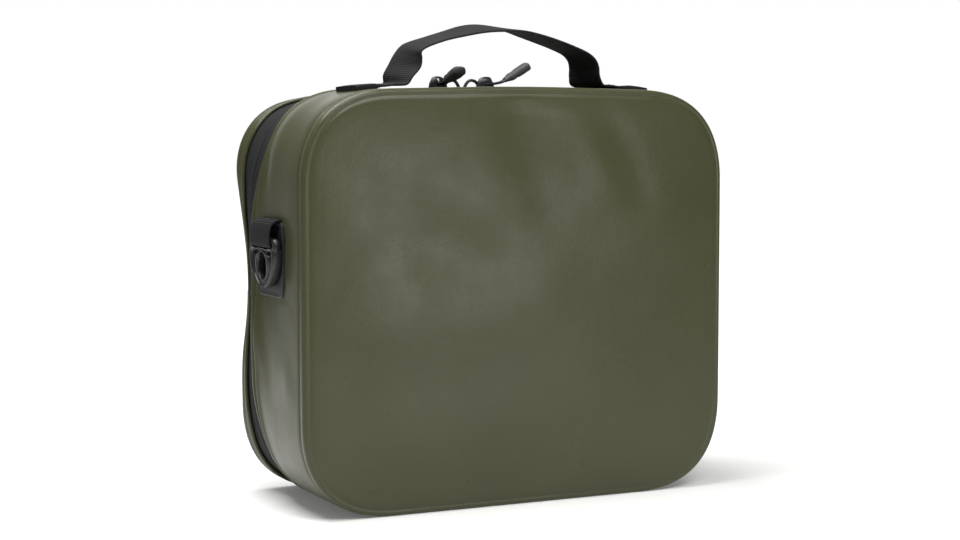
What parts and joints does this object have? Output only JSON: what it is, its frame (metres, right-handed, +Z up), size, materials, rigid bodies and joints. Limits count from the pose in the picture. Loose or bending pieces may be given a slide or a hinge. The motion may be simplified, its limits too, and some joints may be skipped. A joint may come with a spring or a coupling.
{
  "type": "pannier bag",
  "caption": "Box-shaped welded bicycle pannier bag that zips open like a clamshell, with a webbing handle, side rings and rear rack hooks.",
  "frame": {"origin": "on the floor under the middle of the whole object", "axes": "+Z up, +X across the bag, front panel towards -Y, rack hooks towards +Y"},
  "size_m": [0.3572, 0.1782, 0.3475],
  "materials": {
    "coated_fabric": "satin TPU-coated woven fabric, olive green",
    "seam": "welded seam of the coated fabric, satin",
    "zip_tape": "matt black water-resistant zip tape",
    "zip_coil": "nylon coil",
    "webbing": "black polyester webbing",
    "ring_plastic": "moulded acetal, satin",
    "slider_metal": "black-painted zinc die casting",
    "grip_rubber": "dark grey moulded rubber",
    "board": "polyethylene sheet",
    "rail_plastic": "glass-filled nylon",
    "steel": "zinc-plated steel"
  },
  "bodies": {
    "rear_shell": {"rear_edge_roll": "seam", "rear_panel": "coated_fabric", "rear_gusset": "coated_fabric", "rear_flange": "seam", "stiffener_board": "board", "rear_zip_tape": "zip_tape", "rear_zip_coil": "zip_coil", "rear_hinge_strip": "coated_fabric", "zip_stop_left": "zip_coil", "zip_stop_right": "zip_coil", "hook_rail": "rail_plastic", "rail_screws": "steel", "rail_nuts": "steel", "anchor_plate": "rail_plastic", "anchor_screws": "steel", "anchor_nuts": "steel", "anchor_pivot": "steel"},
    "front_shell": {"front_edge_roll": "seam", "front_panel": "coated_fabric", "front_gusset": "coated_fabric", "front_flange": "seam", "front_zip_tape": "zip_tape", "front_zip_coil": "zip_coil", "front_hinge_strip": "coated_fabric", "handle_tail_left": "webbing", "handle_tail_right": "webbing", "side_patch_left": "coated_fabric", "side_patch_right": "coated_fabric", "ring_backing_left": "webbing", "ring_backing_right": "webbing", "ring_tab_left": "webbing", "ring_tab_right": "webbing"},
    "handle": {"handle_strap": "webbing"},
    "anchor": {"anchor_hook": "rail_plastic"},
    "ring_left": {"d_ring_left": "ring_plastic"},
    "slider_left": {"slider_left": "slider_metal"},
    "swivel_left": {"pull_swivel_left": "slider_metal"},
    "pull_left": {"pull_tab_left": "slider_metal", "pull_grip_left": "grip_rubber"},
    "hook_left": {"hook_left": "rail_plastic", "latch_pin_left": "steel", "latch_spring_left": "steel"},
    "latch_left": {"latch_left": "rail_plastic"},
    "ring_right": {"d_ring_right": "ring_plastic"},
    "slider_right": {"slider_right": "slider_metal"},
    "swivel_right": {"pull_swivel_right": "slider_metal"},
    "pull_right": {"pull_tab_right": "slider_metal", "pull_grip_right": "grip_rubber"},
    "hook_right": {"hook_right": "rail_plastic", "latch_pin_right": "steel", "latch_spring_right": "steel"},
    "latch_right": {"latch_right": "rail_plastic"}
  },
  "joints": [
    {"name": "shell_hinge", "type": "hinge", "parent": "rear_shell", "child": "front_shell", "pos_m": [0, 0.0254, 0.0027], "axis": [1, 0, 0], "range_deg": [0, 90]},
    {"name": "handle_fold", "type": "hinge", "parent": "front_shell", "child": "handle", "pos_m": [0, -0.0441, 0.31], "axis": [1, 0, 0], "range_deg": [-45, 45], "stiffness_Nm_per_rad": 0.05},
    {"name": "anchor_swivel", "type": "hinge", "parent": "rear_shell", "child": "anchor", "pos_m": [0, 0.0589, 0.074], "axis": [0, 1, 0], "range_deg": [-90, 90]},
    {"name": "ring_swing_left", "type": "hinge", "parent": "front_shell", "child": "ring_left", "pos_m": [-0.17355, -0.0251, 0.193], "axis": [0, 1, 0], "range_deg": [0, 120]},
    {"name": "slider_slide_left", "type": "slide", "parent": "rear_shell", "child": "slider_left", "axis": [1, 0, 0], "range_m": [-0.07, 0.003]},
    {"name": "pull_turn_left", "type": "hinge", "parent": "slider_left", "child": "swivel_left", "pos_m": [-0.013, 0.0254, 0.3012], "axis": [0, 0, 1], "range_deg": [-8, 50]},
    {"name": "pull_tilt_left", "type": "hinge", "parent": "swivel_left", "child": "pull_left", "pos_m": [-0.013, 0.0254, 0.3045], "axis": [-1, 0, 0], "range_deg": [-17, 60]},
    {"name": "hook_slide_left", "type": "slide", "parent": "rear_shell", "child": "hook_left", "axis": [1, 0, 0], "range_m": [-0.02, 0.02]},
    {"name": "latch_turn_left", "type": "hinge", "parent": "hook_left", "child": "latch_left", "pos_m": [-0.084, 0.072, 0.25], "axis": [1, 0, 0], "range_deg": [-85, 0], "stiffness_Nm_per_rad": 0.02, "springref_deg": 22.92},
    {"name": "ring_swing_right", "type": "hinge", "parent": "front_shell", "child": "ring_right", "pos_m": [0.17355, -0.0251, 0.193], "axis": [0, -1, 0], "range_deg": [0, 120]},
    {"name": "slider_slide_right", "type": "slide", "parent": "rear_shell", "child": "slider_right", "axis": [1, 0, 0], "range_m": [-0.003, 0.055]},
    {"name": "pull_turn_right", "type": "hinge", "parent": "slider_right", "child": "swivel_right", "pos_m": [0.026, 0.0254, 0.3012], "axis": [0, 0, 1], "range_deg": [-60, 60]},
    {"name": "pull_tilt_right", "type": "hinge", "parent": "swivel_right", "child": "pull_right", "pos_m": [0.026, 0.0254, 0.3045], "axis": [0, -1, 0], "range_deg": [-24, 60]},
    {"name": "hook_slide_right", "type": "slide", "parent": "rear_shell", "child": "hook_right", "axis": [1, 0, 0], "range_m": [-0.02, 0.02]},
    {"name": "latch_turn_right", "type": "hinge", "parent": "hook_right", "child": "latch_right", "pos_m": [0.084, 0.072, 0.25], "axis": [1, 0, 0], "range_deg": [-85, 0], "stiffness_Nm_per_rad": 0.02, "springref_deg": 22.92}
  ]
}
